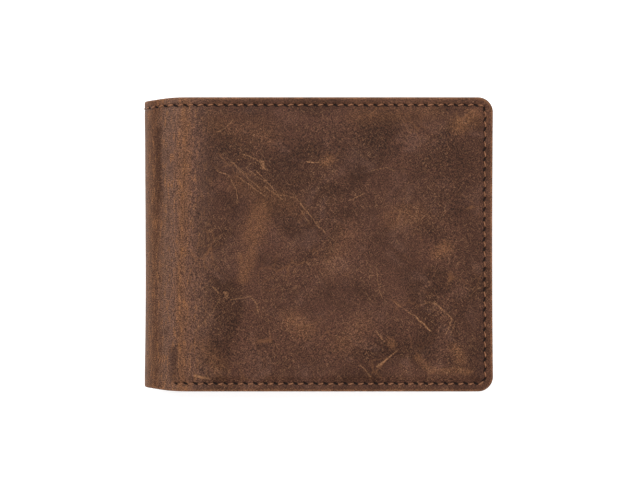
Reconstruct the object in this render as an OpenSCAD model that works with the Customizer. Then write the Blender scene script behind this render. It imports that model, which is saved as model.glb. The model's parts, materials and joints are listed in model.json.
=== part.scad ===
// Landscape leather wallet with three leaves: back leaf, centre leaf and front leaf.
//
// Frame: millimetres, +Z up. The closed wallet lies on its back cover, with the rounded
// spine at -X, the free edges at +X and the mouth of the banknote compartment at +Y.
// The origin is the middle of the closed wallet's underside.
//
// The outer leather is one hide. It is drawn in five lengths, front cover, three spine
// strips and back cover, because it bends at the four fold lines between them.

/* [Closed wallet] */
// Width, from the spine's outside to the free edges
wallet_w = 116; // [112:0.5:121]
// Height, from the bottom seam to the mouth of the banknote compartment
wallet_h = 97; // [96:0.5:104]
// Thickness of the closed, empty wallet
wallet_t = 20; // [19:0.5:24]
// Radius of the two cover corners on the free edge
corner_r = 5; // [4:0.5:8]

/* [Leather and lining] */
// Thickness of the outer leather
leather_t = 1.1; // [0.9:0.1:1.3]
// How far the padded middle of a cover stands proud of its seam border
pad_rise = 0.4; // [0.35:0.05:0.5]
// Width of the flat seam border around a cover's padding
border_w = 4.2; // [4:0.1:5]
// Thickness of the fabric lining
lining_t = 0.3; // [0.2:0.05:0.4]

/* [Seams] */
// Distance from a cover's edge to its seam
seam_inset = 2.7; // [2.4:0.1:3]
// Distance from one stitch to the next
stitch_pitch = 3.3; // [3:0.1:4]
// Length of the thread that shows in one stitch
stitch_l = 2.3; // [1.8:0.1:2.6]
// Width of the thread
stitch_w = 0.6; // [0.4:0.1:0.7]
// How far the thread stands above the leather
stitch_t = 0.3; // [0.2:0.05:0.35]

/* [Inside panels] */
// Distance from the spine's outside to the inside panels
panel_setback = 11; // [10.8:0.1:13]
// Distance from the covers' top edge down to the top of the inside panels
wall_drop = 4.5; // [3:0.5:6]
// Thickness of the wall between banknotes and cards, with its hollow
wall_t = 1; // [0.9:0.05:1.1]
// Depth of the hollow for banknotes
note_gap = 0.4; // [0.2:0.05:0.4]
// Thickness of one card pocket, with its hollow
pocket_t = 0.9; // [0.8:0.05:0.95]
// Depth of the hollow for cards
card_gap = 0.35; // [0.2:0.05:0.35]
// Number of card pockets on the front and back leaves
pocket_count = 4; // [4]
// Step between the top edges of neighbouring card pockets
pocket_step = 11; // [9:0.5:11]

/* [Centre leaf] */
// Distance from the free edges to the centre leaf's edge
leaf_inset = 7.5; // [6:0.5:12]
// Number of card pockets on the centre leaf
leaf_pocket_count = 3; // [3]
// Step between their top edges
leaf_pocket_step = 13; // [10:0.5:13]
// Thickness of the leaf's core, with the hollow for an identity card
core_t = 1.15; // [1:0.05:1.2]
// Thickness of the clear window
film_t = 0.3; // [0.2:0.05:0.3]
// Thickness of the leather frame round the window
frame_t = 0.7; // [0.6:0.05:0.8]
// Width of the opening in that frame
window_w = 78; // [70:1:80]
// Height of the opening in that frame
window_h = 50; // [44:1:50]

/* [Hidden] */
$fn = 48;

// Colours
worn_leather = [0.36, 0.24, 0.19];
inner_leather = [0.33, 0.21, 0.16];
fabric = [0.20, 0.16, 0.14];
board = [0.62, 0.56, 0.47];
thread = [0.46, 0.31, 0.22];
clear = [0.85, 0.88, 0.90, 0.4];

// Sizes of what goes into the wallet
card_w = 88;
card_depth = 50;

// Outline of a cover
half_w = wallet_w / 2;
half_h = wallet_h / 2;
spine_r = wallet_t / 2 - pad_rise;
spine_x = -half_w + stitch_t + spine_r;
pad_lead = 2;
pad_start = -half_w + panel_setback + pad_lead;
pad_r = 2;
interlining_inset = 1;
interlining_r = 1.5;

// The leather bends at four fold lines, a quarter of the half turn apart
fold_count = 4;
strip_arc = 180 / fold_count;
strip_gap = 1;
lining_r = spine_r - leather_t;
lining_margin = 0.8;
stitches_per_strip = 2;

// Heights of the layers, from the back cover up
lining_z = pad_rise + leather_t;
wall_z = lining_z + lining_t;
pocket_z = wall_z + wall_t;

// Outline of the inside panels
panel_margin = 0.4;
panel_left = -half_w + panel_setback;
panel_right = half_w - panel_margin;
panel_bottom = -half_h + panel_margin;
panel_r = corner_r - panel_margin;
wall_top = half_h - wall_drop;
pocket_drop = 6;
pocket_top = wall_top - pocket_drop;
pocket_margin = 3.6;
pocket_left = panel_left + pocket_margin;
pocket_seam = 2;
hollow_rim = 4;

// The centre leaf turns on an axis beside the inside panels, at half the wallet's thickness
hinge_strip_t = 0.8;
hinge_foot_w = 3.2;
hinge_play = 0.75;
hinge_x = panel_left + hinge_strip_t / 2;
hinge_z = wallet_t / 2;
tongue_play = 0.45;
leaf_gap = 1.2;
leaf_lift = 2;
leaf_drop = 1.5;
leaf_left = hinge_x + leaf_gap;
leaf_right = half_w - leaf_inset;
leaf_bottom = -half_h + leaf_lift;
leaf_top = wall_top - leaf_drop;
leaf_x = (leaf_left + leaf_right) / 2;
leaf_y = (leaf_top + leaf_bottom) / 2;
leaf_r = 4;
leaf_t = leaf_pocket_count * pocket_t + core_t + film_t + frame_t;
leaf_z = wallet_t / 2 - leaf_t / 2;
core_z = leaf_z + leaf_pocket_count * pocket_t;
frame_z = core_z + core_t + film_t;
leaf_pocket_drop = 8;
leaf_pocket_top = leaf_top - leaf_pocket_drop;
window_r = 3;
film_inset = 1;

// ---------------------------------------------------------------- outlines

// A rectangle whose two right-hand corners are round
module round_right(left, right, bottom, top, r) {
    translate([left, bottom]) square([right - r - left, top - bottom]);
    translate([left, bottom + r]) square([right - left, top - bottom - 2 * r]);
    for (y = [bottom + r, top - r]) translate([right - r, y]) circle(r);
}

// A rectangle with four round corners
module round_all(left, right, bottom, top, r) {
    translate([left + r, bottom]) square([right - left - 2 * r, top - bottom]);
    translate([left, bottom + r]) square([right - left, top - bottom - 2 * r]);
    for (x = [left + r, right - r], y = [bottom + r, top - r]) translate([x, y]) circle(r);
}

// A rectangle whose only round corner is the lower right one
module round_low(left, right, bottom, top, r) {
    translate([left, bottom]) square([right - r - left, top - bottom]);
    translate([left, bottom + r]) square([right - left, top - bottom - r]);
    translate([right - r, bottom + r]) circle(r);
}

// Direction at an angle round the spine, from straight down, through -X, to straight up
function round_spine(a) = [-sin(a), -cos(a)];

// A ring sector round the spine, from angle a to angle b, as long as the wallet is high
module spine_arc(a, b, outer, inner, length) {
    reach = 2 * spine_r;
    wedge = [[0, 0], reach * round_spine(a), reach * round_spine((a + b) / 2), reach * round_spine(b)];
    translate([spine_x, 0, wallet_t / 2]) rotate([90, 0, 0])
        linear_extrude(length, center = true) intersection() {
            difference() {
                circle(outer, $fn = 96);
                circle(inner, $fn = 96);
            }
            polygon(wedge);
        }
}

// The front leaf is the back leaf turned over
module turned_over() {
    translate([0, 0, wallet_t]) mirror([0, 0, 1]) children();
}

// ---------------------------------------------------------------- thread

// One stitch, lying along an angle in plan, its underside at the height z
module stitch(x, y, angle, z) {
    flat = stitch_l - stitch_w;
    translate([x, y, z]) rotate(angle) linear_extrude(stitch_t) {
        square([flat, stitch_w], center = true);
        for (end = [-1, 1]) translate([end * flat / 2, 0]) circle(stitch_w / 2, $fn = 16);
    }
}

// Places of the stitches in a straight run, one pitch apart and centred in it
function run(from, to) =
    let (count = floor((to - from) / stitch_pitch), spare = to - from - (count - 1) * stitch_pitch)
    [for (i = [0:count - 1]) from + spare / 2 + i * stitch_pitch];

// The seam of a cover: along the top, round the two corners, down the free edge, along the bottom
module cover_seam(z) {
    edge_x = half_w - seam_inset;
    edge_y = half_h - seam_inset;
    turn = corner_r - seam_inset;
    for (x = run(spine_x, half_w - corner_r)) stitch(x, edge_y, 0, z);
    for (x = run(panel_left, half_w - corner_r)) stitch(x, -edge_y, 0, z);
    for (y = run(-half_h + corner_r, half_h - corner_r)) stitch(edge_x, y, 90, z);
    for (side = [-1, 1])
        stitch(half_w - corner_r + turn * cos(45), side * (half_h - corner_r + turn * sin(45)), -side * 45, z);
}

// Height of the topmost inside panel at y, where each pocket below its top edge adds one layer
function stack_height(y, base, first_top, step, count) =
    base + pocket_t * len([for (i = [0:count - 1]) if (y < first_top - i * step + stitch_l / 2) i]);

// The same seam on the inside of the leaf, and the one that closes the pockets beside the spine
module inside_seam() {
    edge_x = half_w - seam_inset;
    edge_y = half_h - seam_inset;
    floor_z = stack_height(-half_h, pocket_z, pocket_top, pocket_step, pocket_count);
    for (x = run(pocket_left + pocket_seam, half_w - corner_r)) stitch(x, -edge_y, 0, floor_z);
    for (y = run(-half_h + corner_r, wall_top))
        stitch(edge_x, y, 90, stack_height(y, pocket_z, pocket_top, pocket_step, pocket_count));
    for (y = run(-half_h + corner_r, pocket_top - stitch_l))
        stitch(pocket_left + pocket_seam, y, 90,
            stack_height(y, pocket_z, pocket_top, pocket_step, pocket_count));
}

module seam_thread() {
    color(thread) {
        cover_seam(pad_rise - stitch_t);
        inside_seam();
    }
}

// Stitches of the top seam where it runs over the spine, on the strip between two angles
module spine_thread(strip) {
    color(thread) for (i = [0:stitches_per_strip - 1]) {
        a = strip_arc * (strip + (i + 0.5) / stitches_per_strip - 0.5);
        translate([spine_x, 0, wallet_t / 2]) rotate([0, a, 0]) translate([0, 0, -spine_r])
            stitch(0, half_h - seam_inset, 0, -stitch_t);
    }
}

// ---------------------------------------------------------------- outer leather

// A cover: flat seam border, padded middle, hollow for the interlining, and a curved lip to the spine
module cover() {
    color(worn_leather) difference() {
        union() {
            translate([0, 0, pad_rise]) linear_extrude(leather_t)
                round_right(spine_x, half_w, -half_h, half_h, corner_r);
            linear_extrude(leather_t) pad_outline();
            spine_arc(0, strip_arc / 2 - strip_gap, spine_r, lining_r, wallet_h);
        }
        translate([0, 0, leather_t]) linear_extrude(pad_rise) interlining_outline();
    }
}

module pad_outline() {
    round_right(pad_start, half_w - border_w, -half_h + border_w, half_h - border_w, pad_r);
}

module interlining_outline() {
    inset = border_w + interlining_inset;
    round_right(pad_start + interlining_inset, half_w - inset, -half_h + inset, half_h - inset, interlining_r);
}

module interlining() {
    color(board) translate([0, 0, leather_t]) linear_extrude(pad_rise) interlining_outline();
}

// Leather of the spine between two fold lines
module spine_leather(strip) {
    color(worn_leather)
        spine_arc((strip - 0.5) * strip_arc + strip_gap, (strip + 0.5) * strip_arc - strip_gap,
            spine_r, lining_r, wallet_h);
}

// ---------------------------------------------------------------- lining

module lining() {
    color(fabric) {
        translate([0, 0, lining_z]) linear_extrude(lining_t)
            round_right(spine_x, half_w - lining_margin, -half_h + lining_margin, half_h - lining_margin,
                corner_r - lining_margin);
        spine_arc(0, strip_arc / 2 - strip_gap, lining_r, lining_r - lining_t, wallet_h - 2 * lining_margin);
    }
}

module spine_lining(strip) {
    color(fabric)
        spine_arc((strip - 0.5) * strip_arc + strip_gap, (strip + 0.5) * strip_arc - strip_gap,
            lining_r, lining_r - lining_t, wallet_h - 2 * lining_margin);
}

// ---------------------------------------------------------------- inside panels

// Wall between banknotes and cards. Its hollow is open to the top and to the spine.
module note_wall() {
    color(inner_leather) difference() {
        translate([0, 0, wall_z]) linear_extrude(wall_t)
            round_low(panel_left, panel_right, panel_bottom, wall_top, panel_r);
        translate([panel_left - 1, panel_bottom + hollow_rim, wall_z - 1])
            cube([panel_right - panel_left - hollow_rim + 1, wall_top - panel_bottom, note_gap + 1]);
    }
}

// A card pocket, sewn down on three sides, with its hollow open at the top edge
module card_pocket(left, right, bottom, top, z, r) {
    middle = (left + right) / 2;
    color(inner_leather) difference() {
        translate([0, 0, z]) linear_extrude(pocket_t) round_low(left, right, bottom, top, r);
        translate([middle - card_w / 2, top - card_depth, z - 1]) cube([card_w, card_depth + 1, card_gap + 1]);
    }
}

module leaf_card_pocket(i) {
    card_pocket(pocket_left, panel_right, panel_bottom, pocket_top - i * pocket_step,
        pocket_z + i * pocket_t, panel_r);
}

// ---------------------------------------------------------------- centre leaf

// Leather strip that holds the centre leaf: a foot sewn to the back leaf, and an upright
module centre_leaf_hinge() {
    length = leaf_top - leaf_bottom - 2 * leaf_r;
    color(inner_leather) translate([panel_left, leaf_bottom + leaf_r, pocket_z]) {
        cube([hinge_foot_w, length, hinge_strip_t]);
        cube([hinge_strip_t, length, hinge_z - hinge_play - pocket_z]);
    }
}

// Core with a tongue that reaches to the hinge, and a hollow for an identity card
module centre_leaf_core() {
    color(fabric) difference() {
        union() {
            translate([0, 0, core_z]) linear_extrude(core_t)
                round_right(leaf_left, leaf_right, leaf_bottom, leaf_top, leaf_r);
            translate([hinge_x + tongue_play, leaf_bottom + leaf_r, core_z])
                cube([leaf_left - hinge_x, leaf_top - leaf_bottom - 2 * leaf_r, core_t - card_gap]);
        }
        translate([leaf_x - card_w / 2, leaf_bottom + hollow_rim, core_z + core_t - card_gap])
            cube([card_w, leaf_top - leaf_bottom, card_gap + 1]);
    }
}

module centre_window_film() {
    color(clear) translate([0, 0, core_z + core_t]) linear_extrude(film_t)
        round_right(leaf_left + film_inset, leaf_right - film_inset, leaf_bottom + film_inset,
            leaf_top - film_inset, leaf_r - film_inset);
}

module centre_window_frame() {
    color(inner_leather) translate([0, 0, frame_z]) linear_extrude(frame_t) difference() {
        round_right(leaf_left, leaf_right, leaf_bottom, leaf_top, leaf_r);
        round_all(leaf_x - window_w / 2, leaf_x + window_w / 2,
            leaf_y - window_h / 2, leaf_y + window_h / 2, window_r);
    }
}

// The leaf's card pockets are under its core, the shortest one lowest
module centre_card_pocket(i) {
    translate([0, 0, 2 * leaf_z + leaf_pocket_count * pocket_t]) mirror([0, 0, 1])
        card_pocket(leaf_left, leaf_right, leaf_bottom, leaf_pocket_top - i * leaf_pocket_step,
            leaf_z + i * pocket_t, leaf_r);
}

// Seam round the centre leaf, on both faces
module centre_seam_thread() {
    right = leaf_right - seam_inset;
    left = leaf_left + seam_inset;
    top = leaf_top - seam_inset;
    bottom = leaf_bottom + seam_inset;
    above = leaf_z + leaf_t;
    color(thread) {
        for (x = run(left, leaf_right - leaf_r), y = [bottom, top]) stitch(x, y, 0, above);
        for (y = run(leaf_bottom + leaf_r, leaf_top - leaf_r), x = [left, right]) stitch(x, y, 90, above);
        for (x = run(left, leaf_right - leaf_r)) stitch(x, bottom, 0, leaf_z - stitch_t);
        for (y = run(leaf_bottom + leaf_r, leaf_top - leaf_r), x = [left, right])
            stitch(x, y, 90, core_z - stitch_t
                - stack_height(y, 0, leaf_pocket_top, leaf_pocket_step, leaf_pocket_count));
    }
}

// ---------------------------------------------------------------- nodes

cover();  // back_cover
interlining();  // back_interlining
lining();  // back_lining
note_wall();  // back_note_wall
leaf_card_pocket(0);  // back_card_pocket_1
leaf_card_pocket(1);  // back_card_pocket_2
leaf_card_pocket(2);  // back_card_pocket_3
leaf_card_pocket(3);  // back_card_pocket_4
seam_thread();  // back_seam_thread

spine_leather(1);  // spine_leather_lower
spine_leather(2);  // spine_leather_middle
spine_leather(3);  // spine_leather_upper
spine_lining(1);  // spine_lining_lower
spine_lining(2);  // spine_lining_middle
spine_lining(3);  // spine_lining_upper
spine_thread(1);  // spine_thread_lower
spine_thread(2);  // spine_thread_middle
spine_thread(3);  // spine_thread_upper

turned_over() cover();  // front_cover
turned_over() interlining();  // front_interlining
turned_over() lining();  // front_lining
turned_over() note_wall();  // front_note_wall
turned_over() leaf_card_pocket(0);  // front_card_pocket_1
turned_over() leaf_card_pocket(1);  // front_card_pocket_2
turned_over() leaf_card_pocket(2);  // front_card_pocket_3
turned_over() leaf_card_pocket(3);  // front_card_pocket_4
turned_over() seam_thread();  // front_seam_thread

centre_leaf_hinge();
centre_leaf_core();
centre_window_film();
centre_window_frame();
centre_card_pocket(0);  // centre_card_pocket_1
centre_card_pocket(1);  // centre_card_pocket_2
centre_card_pocket(2);  // centre_card_pocket_3
centre_seam_thread();
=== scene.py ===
# %% [markdown]
# # A leather wallet with three leaves
# The wallet lies closed on its back cover. One hide of waxed brown leather runs from the front cover,
# round the spine, to the back cover. Inside are a back leaf and a front leaf with card pockets, and a
# centre leaf between them with a clear window.
#
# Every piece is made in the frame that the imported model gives, so the first cells load it and take the
# main sizes from it. Lengths are in millimetres until a mesh is made.

# %% Load the frame
import json
import math

import bpy
import numpy as np
from mathutils import Vector, noise
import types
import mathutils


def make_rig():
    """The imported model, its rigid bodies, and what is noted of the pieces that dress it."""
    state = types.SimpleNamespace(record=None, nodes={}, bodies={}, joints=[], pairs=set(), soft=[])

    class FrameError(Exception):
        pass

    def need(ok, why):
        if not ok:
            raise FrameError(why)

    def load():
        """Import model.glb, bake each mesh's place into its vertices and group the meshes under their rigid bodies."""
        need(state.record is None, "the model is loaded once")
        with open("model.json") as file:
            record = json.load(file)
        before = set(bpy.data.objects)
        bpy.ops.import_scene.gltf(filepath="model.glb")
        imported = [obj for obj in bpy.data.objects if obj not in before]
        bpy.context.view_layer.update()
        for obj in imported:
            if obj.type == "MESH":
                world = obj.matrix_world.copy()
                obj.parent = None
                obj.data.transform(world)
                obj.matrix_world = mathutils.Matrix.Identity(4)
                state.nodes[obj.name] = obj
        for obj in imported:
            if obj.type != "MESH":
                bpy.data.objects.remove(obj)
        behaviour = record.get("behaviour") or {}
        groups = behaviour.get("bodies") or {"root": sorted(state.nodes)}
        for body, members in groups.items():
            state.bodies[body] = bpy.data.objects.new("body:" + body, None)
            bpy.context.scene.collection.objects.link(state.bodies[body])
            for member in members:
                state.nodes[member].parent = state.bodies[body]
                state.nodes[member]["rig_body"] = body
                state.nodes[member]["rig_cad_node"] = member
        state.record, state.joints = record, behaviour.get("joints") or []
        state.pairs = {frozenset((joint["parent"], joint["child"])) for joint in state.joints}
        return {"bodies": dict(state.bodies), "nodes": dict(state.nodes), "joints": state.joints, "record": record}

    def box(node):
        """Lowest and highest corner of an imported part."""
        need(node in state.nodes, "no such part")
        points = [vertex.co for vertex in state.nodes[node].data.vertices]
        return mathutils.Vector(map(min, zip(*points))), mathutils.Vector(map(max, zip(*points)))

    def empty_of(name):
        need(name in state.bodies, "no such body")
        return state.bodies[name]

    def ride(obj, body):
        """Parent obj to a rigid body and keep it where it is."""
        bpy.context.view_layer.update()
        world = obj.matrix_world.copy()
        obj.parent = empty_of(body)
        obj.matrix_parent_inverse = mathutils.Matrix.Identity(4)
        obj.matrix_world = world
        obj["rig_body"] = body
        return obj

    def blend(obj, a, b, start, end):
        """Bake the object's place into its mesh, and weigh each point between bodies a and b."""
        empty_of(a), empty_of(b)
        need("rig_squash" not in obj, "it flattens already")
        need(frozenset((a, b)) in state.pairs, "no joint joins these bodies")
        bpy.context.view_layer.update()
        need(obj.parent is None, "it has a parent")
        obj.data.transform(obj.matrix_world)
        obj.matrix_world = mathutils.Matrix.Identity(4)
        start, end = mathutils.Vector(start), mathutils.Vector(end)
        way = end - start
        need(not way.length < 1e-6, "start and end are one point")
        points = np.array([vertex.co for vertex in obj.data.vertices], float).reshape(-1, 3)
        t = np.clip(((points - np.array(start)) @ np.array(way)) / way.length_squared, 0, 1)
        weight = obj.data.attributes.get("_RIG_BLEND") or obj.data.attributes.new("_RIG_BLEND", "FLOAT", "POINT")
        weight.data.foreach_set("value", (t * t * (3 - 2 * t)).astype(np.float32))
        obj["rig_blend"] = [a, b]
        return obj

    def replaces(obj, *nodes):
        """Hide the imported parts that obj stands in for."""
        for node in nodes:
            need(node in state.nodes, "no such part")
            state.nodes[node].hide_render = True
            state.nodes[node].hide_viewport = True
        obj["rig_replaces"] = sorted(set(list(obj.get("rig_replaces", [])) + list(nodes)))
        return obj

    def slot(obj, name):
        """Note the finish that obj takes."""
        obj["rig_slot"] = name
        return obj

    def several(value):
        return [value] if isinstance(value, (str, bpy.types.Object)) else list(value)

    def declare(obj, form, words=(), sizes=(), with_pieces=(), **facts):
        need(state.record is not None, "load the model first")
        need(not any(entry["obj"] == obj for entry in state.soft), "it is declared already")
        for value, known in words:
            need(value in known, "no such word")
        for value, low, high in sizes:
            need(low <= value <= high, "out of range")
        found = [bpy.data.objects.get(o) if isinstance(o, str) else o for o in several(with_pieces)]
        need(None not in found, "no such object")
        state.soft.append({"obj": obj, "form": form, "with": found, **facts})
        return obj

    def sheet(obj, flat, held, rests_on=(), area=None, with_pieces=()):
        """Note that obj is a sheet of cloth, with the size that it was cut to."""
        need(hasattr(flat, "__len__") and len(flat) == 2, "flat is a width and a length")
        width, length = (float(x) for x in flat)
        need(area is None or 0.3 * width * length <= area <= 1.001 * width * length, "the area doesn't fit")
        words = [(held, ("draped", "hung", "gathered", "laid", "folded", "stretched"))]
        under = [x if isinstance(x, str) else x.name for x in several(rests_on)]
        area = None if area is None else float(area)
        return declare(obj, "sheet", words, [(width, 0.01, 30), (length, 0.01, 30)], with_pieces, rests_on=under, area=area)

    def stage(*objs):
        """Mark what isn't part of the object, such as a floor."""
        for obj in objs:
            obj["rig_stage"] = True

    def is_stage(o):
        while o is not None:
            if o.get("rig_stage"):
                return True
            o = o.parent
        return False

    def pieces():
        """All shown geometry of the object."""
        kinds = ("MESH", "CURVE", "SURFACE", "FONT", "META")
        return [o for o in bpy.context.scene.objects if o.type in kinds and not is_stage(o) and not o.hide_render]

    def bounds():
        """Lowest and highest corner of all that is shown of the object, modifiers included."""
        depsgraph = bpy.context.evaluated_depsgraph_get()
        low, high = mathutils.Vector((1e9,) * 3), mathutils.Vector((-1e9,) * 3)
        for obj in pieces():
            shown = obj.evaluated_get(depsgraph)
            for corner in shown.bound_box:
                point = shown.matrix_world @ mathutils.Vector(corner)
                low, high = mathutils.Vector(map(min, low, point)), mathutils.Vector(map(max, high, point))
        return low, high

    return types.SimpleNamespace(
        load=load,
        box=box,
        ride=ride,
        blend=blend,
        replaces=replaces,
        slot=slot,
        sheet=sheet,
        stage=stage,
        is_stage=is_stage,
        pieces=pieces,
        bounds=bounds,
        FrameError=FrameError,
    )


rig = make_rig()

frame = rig.load()
cad_low, cad_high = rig.bounds()
MM = 0.001
print("frame:", len(frame["nodes"]), "nodes on", len(frame["bodies"]), "bodies")

# %% [markdown]
# ## Sizes from the frame
# The four fold lines of the spine lie on its outer surface, at 22.5, 67.5, 112.5 and 157.5 degrees round
# from straight down. Two of them are enough to find the spine's radius and centre line.

# %% Main sizes


def box_mm(node):
    """Lowest and highest corner of a CAD node, in millimetres."""
    low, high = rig.box(node)
    return np.array(low) / MM, np.array(high) / MM


edge_x, edge_y, thick = box_mm("front_cover")[1]
mid_z = thick / 2
fold_at = {joint["name"]: np.array(joint["pos_m"]) / MM for joint in frame["joints"]}
FOLD_ANGLES = {"back_fold": -67.5, "lower_spine_fold": -22.5, "upper_spine_fold": 22.5, "front_fold": 67.5}
first, second = (math.cos(math.radians(FOLD_ANGLES[name])) for name in ("back_fold", "lower_spine_fold"))
spine_r = (fold_at["back_fold"][0] - fold_at["lower_spine_fold"][0]) / (second - first)
spine_x = fold_at["back_fold"][0] + spine_r * first
pad_rise = mid_z - spine_r
leather_t = box_mm("back_lining")[0][2] - pad_rise
lining_t = box_mm("back_note_wall")[0][2] - box_mm("back_lining")[0][2]
corner_r = 5.0
border_w = 4.2
seam_inset = 2.7
stitch_pitch = 3.3
print(f"spine radius {spine_r:.2f} mm, padding {pad_rise:.2f} mm")
print(f"leather {leather_t:.2f} mm, lining {lining_t:.2f} mm")

# %% [markdown]
# ## The flat hide
# A leather worker cuts the hide flat and then wraps it. The script does the same. A point of the flat
# hide has three numbers: `u` along it, 0 at the middle of the spine and positive towards the front cover,
# `v` across it, and `h`, its height above the hide's outer face. `wrap` takes it round the spine.
# Leather, lining and thread all go through it, so they stay together, and a pattern drawn in `u` and `v`
# runs on unbroken over the spine.
#
# The sides of a used wallet are never quite straight: they draw in a little halfway up. The spine's ends
# draw in too, because leather that is bent shortens across the bend.

# %% Wrap the hide round the spine
quarter = spine_r * math.pi / 2
hide_end = quarter + edge_x - spine_x
WAIST = 0.3
SPINE_DRAW = 0.9


def wrap(u, v, h):
    """From the flat hide to the closed wallet, as an array of points in millimetres."""
    angle = np.clip(u / spine_r, -math.pi / 2, math.pi / 2)
    flat = np.clip(np.abs(u) - quarter, 0, None)
    x = spine_x + flat - (spine_r + h) * np.cos(angle)
    z = mid_z + (spine_r + h) * np.sin(angle)
    waist = 1 - WAIST / edge_x * (1 - (v / edge_y) ** 2)
    bent = np.exp(-((u / (0.9 * quarter)) ** 4))
    y = v * (1 - SPINE_DRAW / edge_y * bent * np.abs(v / edge_y) ** 3)
    return np.stack([x * waist, y, z], axis=-1)


print(f"the flat hide is {2 * hide_end:.0f} x {2 * edge_y:.0f} mm")

# %% [markdown]
# ## A sheet with round corners and soft edges
# Leather, lining and pockets are all thin sheets. Each is a grid whose lines crowd together near its
# edges, where the shape changes fastest. The grid's corners are drawn in so that its edge follows an arc.
# The upper and lower faces close on each other in a half round, as a pared and polished edge does.

# %% Lines of a grid
HALF_ROUND = np.radians([0, 22.5, 45, 67.5, 90])


def rim(radius, *more):
    """Insets of the first grid lines: round the edge, then those given."""
    return np.concatenate([radius * (1 - np.cos(HALF_ROUND)), more])


def stations(low, high, step, low_insets=(0.0,), high_insets=(0.0,)):
    """Grid lines from low to high: the given insets at the ends, and a step between."""
    low_lines, high_lines = low + np.array(low_insets), high - np.array(high_insets)
    count = max(1, round((high_lines[-1] - low_lines[-1]) / step))
    middle = np.linspace(low_lines[-1], high_lines[-1], count + 1)[1:-1]
    return np.concatenate([low_lines, middle, high_lines[::-1]])


def ramp(value):
    """A smooth step from 0 to 1."""
    value = np.clip(value, 0, 1)
    return value * value * (3 - 2 * value)


def ridge(value, width):
    """A soft ridge, 1 where the value is 0."""
    return np.exp(-((value / width) ** 2))


# %% Round the corners of a grid
ALL_CORNERS = ((1, 1), (1, -1), (-1, 1), (-1, -1))


def round_corner(u, v, corner, side, radius):
    """Draws a grid in at one corner, so that its edge runs along an arc."""
    zone = 1.6 * radius
    a = zone - side[0] * (corner[0] - u)
    b = zone - side[1] * (corner[1] - v)
    inside = (a > 0) & (b > 0)
    a, b = np.where(inside, a, 1), np.where(inside, b, 1)
    length, most = np.hypot(a, b), np.maximum(a, b)
    centre = zone - radius
    along = (a + b) / length * centre
    to_arc = along + np.sqrt(np.maximum(along**2 - 2 * centre**2 + radius**2, 0))
    straight = zone * np.minimum(a, b) / most <= centre
    pull = np.where(straight, 1, to_arc * most / (zone * length))
    scale = 1 + (pull - 1) * (most / zone) ** 2
    new_u = corner[0] - side[0] * (zone - a * scale)
    new_v = corner[1] - side[1] * (zone - b * scale)
    return np.where(inside, new_u, u), np.where(inside, new_v, v)


def inset_in(u, v, box, radii):
    """Distance of each point from the outline of a rectangle with round corners."""
    left, right, bottom, top = box
    inset = np.minimum(np.minimum(u - left, right - u), np.minimum(v - bottom, top - v))
    for (side_u, side_v), radius in radii.items():
        du = right - u if side_u > 0 else u - left
        dv = top - v if side_v > 0 else v - bottom
        near = (du < radius) & (dv < radius)
        inset = np.where(near, radius - np.hypot(radius - du, radius - dv), inset)
    return np.maximum(inset, 0)


# %% Make a closed sheet


def new_object(name, points, faces, material, attributes=None):
    """A smooth mesh object from points in millimetres."""
    mesh = bpy.data.meshes.new(name)
    mesh.from_pydata((points * MM).tolist(), [], faces)
    for key, values in (attributes or {}).items():
        layer = mesh.attributes.new(key, "FLOAT_VECTOR", "POINT")
        layer.data.foreach_set("vector", values.astype(np.float32).ravel())
    mesh.shade_smooth()
    mesh.set_sharp_from_angle(angle=math.radians(50))
    mesh.materials.append(material)
    made = bpy.data.objects.new(name, mesh)
    bpy.context.scene.collection.objects.link(made)
    return made


def sheet_faces(over, under, flip):
    """Faces of both sides of a grid, and of the wall round it where the sides don't meet."""

    def quads(i):
        return np.stack([i[:-1, :-1], i[1:, :-1], i[1:, 1:], i[:-1, 1:]], -1).reshape(-1, 4)

    def outline(i):
        return np.concatenate([i[:-1, 0], i[-1, :-1], i[:0:-1, -1], i[0, :0:-1]])

    faces = quads(over).tolist() + quads(under)[:, ::-1].tolist()
    a, c = outline(over), outline(under)
    for wall in np.stack([np.roll(a, -1), a, c, np.roll(c, -1)], -1).tolist():
        corners = list(dict.fromkeys(wall))
        if len(corners) > 2:
            faces.append(corners)
    return [face[::-1] for face in faces] if flip else faces


def make_sheet(name, lines, box, radii, over, under, place, material, extra=None, flip=False):
    """A closed sheet. over and under give its two heights, and place puts a point in space."""
    u, v = np.meshgrid(*lines, indexing="ij")
    for side, radius in radii.items():
        corner = (box[1] if side[0] > 0 else box[0], box[3] if side[1] > 0 else box[2])
        u, v = round_corner(u, v, corner, side, radius)
    inset = inset_in(u, v, box, radii)
    high, low = over(u, v, inset), under(u, v, inset)
    half = (high - low) / 2
    drop = half - np.sqrt(half**2 - np.clip(half - inset, 0, None) ** 2)
    top, bottom = place(u, v, high - drop), place(u, v, low + drop)
    index = np.arange(u.size).reshape(u.shape)
    meet = np.linalg.norm(top - bottom, axis=2) < 0.001
    faces = sheet_faces(index, np.where(meet, index, index + u.size), flip)
    layers = {"hide": np.stack([u, v, inset], -1)}
    layers.update(extra(u, v, inset) if extra else {})
    used, renumber = np.unique([i for face in faces for i in face], return_inverse=True)
    ends = np.cumsum([len(face) for face in faces])[:-1]
    faces = [part.tolist() for part in np.split(renumber, ends)]
    points = np.concatenate([top.reshape(-1, 3), bottom.reshape(-1, 3)])[used]
    layers = {key: np.tile(value.reshape(-1, 3), (2, 1))[used] for key, value in layers.items()}
    depth = np.concatenate([(high - drop).ravel(), (low + drop).ravel()])[used]
    layers["depth"] = np.stack([depth, depth, depth], -1)
    made = new_object(name, points, faces, material, layers)
    print(f"{name}: {len(points)} points, {len(faces)} faces")
    return made


# %% [markdown]
# ## Short words for nodes
# Every finish here is built from noise, a few curves and simple sums. These helpers keep each material
# short enough to read: `calc` is a Math node, `blend` mixes two colours, and `speck` is a noise whose
# size is given in millimetres.

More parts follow.
